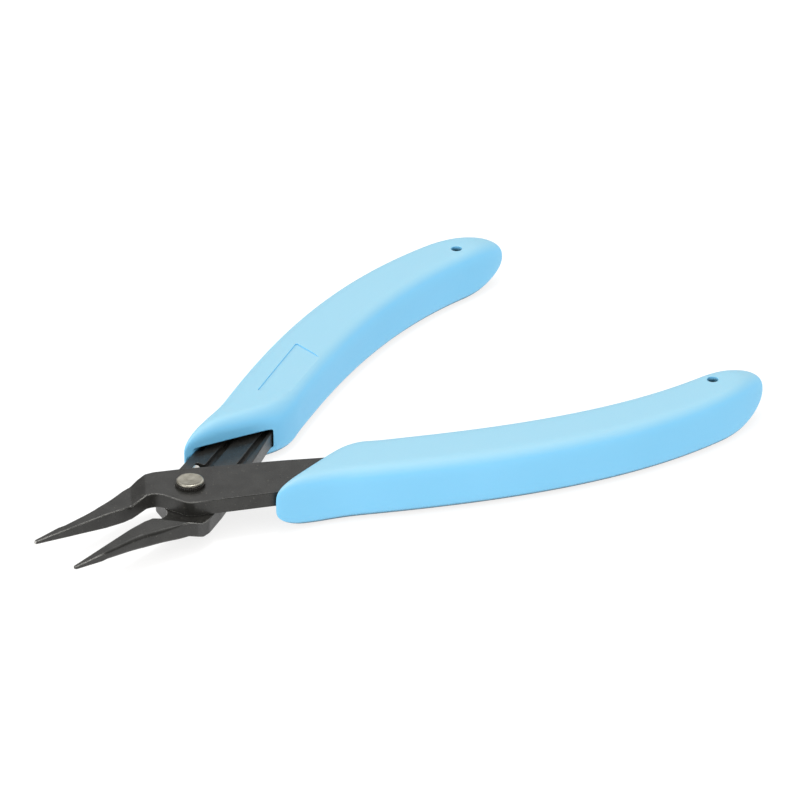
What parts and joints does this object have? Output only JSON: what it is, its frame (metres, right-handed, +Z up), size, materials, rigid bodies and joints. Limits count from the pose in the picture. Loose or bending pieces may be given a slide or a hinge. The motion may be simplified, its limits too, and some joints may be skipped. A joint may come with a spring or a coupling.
{
  "type": "needle-nose hobby pliers",
  "caption": "Small spring-loaded needle-nose pliers: flat black steel halves on a rivet, slim tapered smooth jaws and long moulded blue grips.",
  "frame": {"origin": "bottom centre of the bounding box with the tool lying flat and open as its spring holds it; the rivet's axis stands at x = -40.11 mm, y = 0", "axes": "+X from the jaws towards the handles, +Y towards the handle of the lower half, +Z up along the rivet"},
  "size_m": [0.1442, 0.0884, 0.0108],
  "materials": {
    "blackened_steel": "black oxide, satin",
    "rivet_steel": "satin",
    "washer_steel": "black oxide, satin",
    "spring_steel": "drawn wire, bright",
    "grip_plastic": "smooth matte moulding"
  },
  "bodies": {
    "lower_half": {"lower_arm": "blackened_steel", "far_grip": "grip_plastic", "pivot_rivet": "rivet_steel", "upper_washer": "washer_steel", "lower_washer": "washer_steel", "return_spring": "spring_steel"},
    "upper_half": {"upper_arm": "blackened_steel", "near_grip": "grip_plastic"}
  },
  "joints": [
    {"name": "pivot_hinge", "type": "hinge", "parent": "lower_half", "child": "upper_half", "pos_m": [-0.04011, 0, 0.0054], "axis": [0, 0, 1], "range_deg": [-4, 20.3], "stiffness_Nm_per_rad": 0.6, "deforming": ["return_spring"]}
  ]
}
